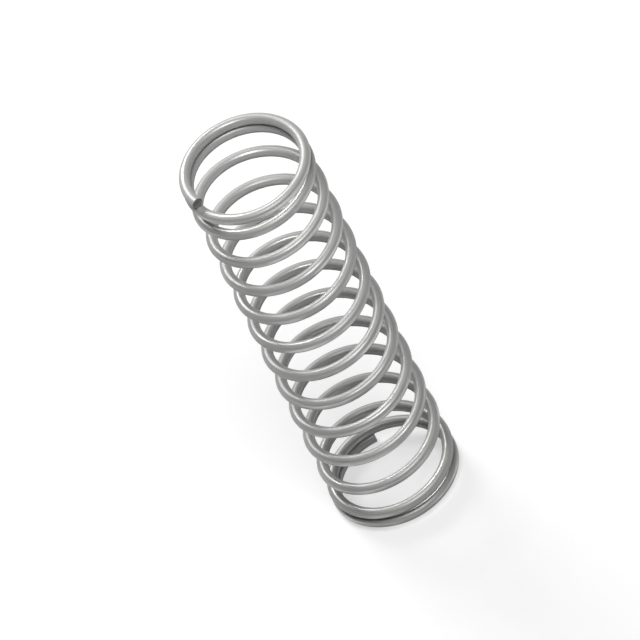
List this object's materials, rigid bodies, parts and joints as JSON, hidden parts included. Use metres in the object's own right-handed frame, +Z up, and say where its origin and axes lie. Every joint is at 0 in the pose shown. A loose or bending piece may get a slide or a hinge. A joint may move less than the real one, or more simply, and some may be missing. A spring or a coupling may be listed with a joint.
{
  "type": "compression spring",
  "caption": "Cylindrical compression spring of round wire: open right-hand coils between closed ends that are not ground.",
  "frame": {"origin": "on the coil's axis, at the level that the bottom coil stands on", "axes": "+Z up along the coil's axis; +X points at the wire's bottom tip; the top tip lies 108 degrees round from it towards +Y"},
  "size_m": [0.0152, 0.0152, 0.0571],
  "materials": {
    "spring_steel": "satin"
  },
  "bodies": {
    "root": {"coil_spring": "spring_steel"}
  },
  "joints": []
}
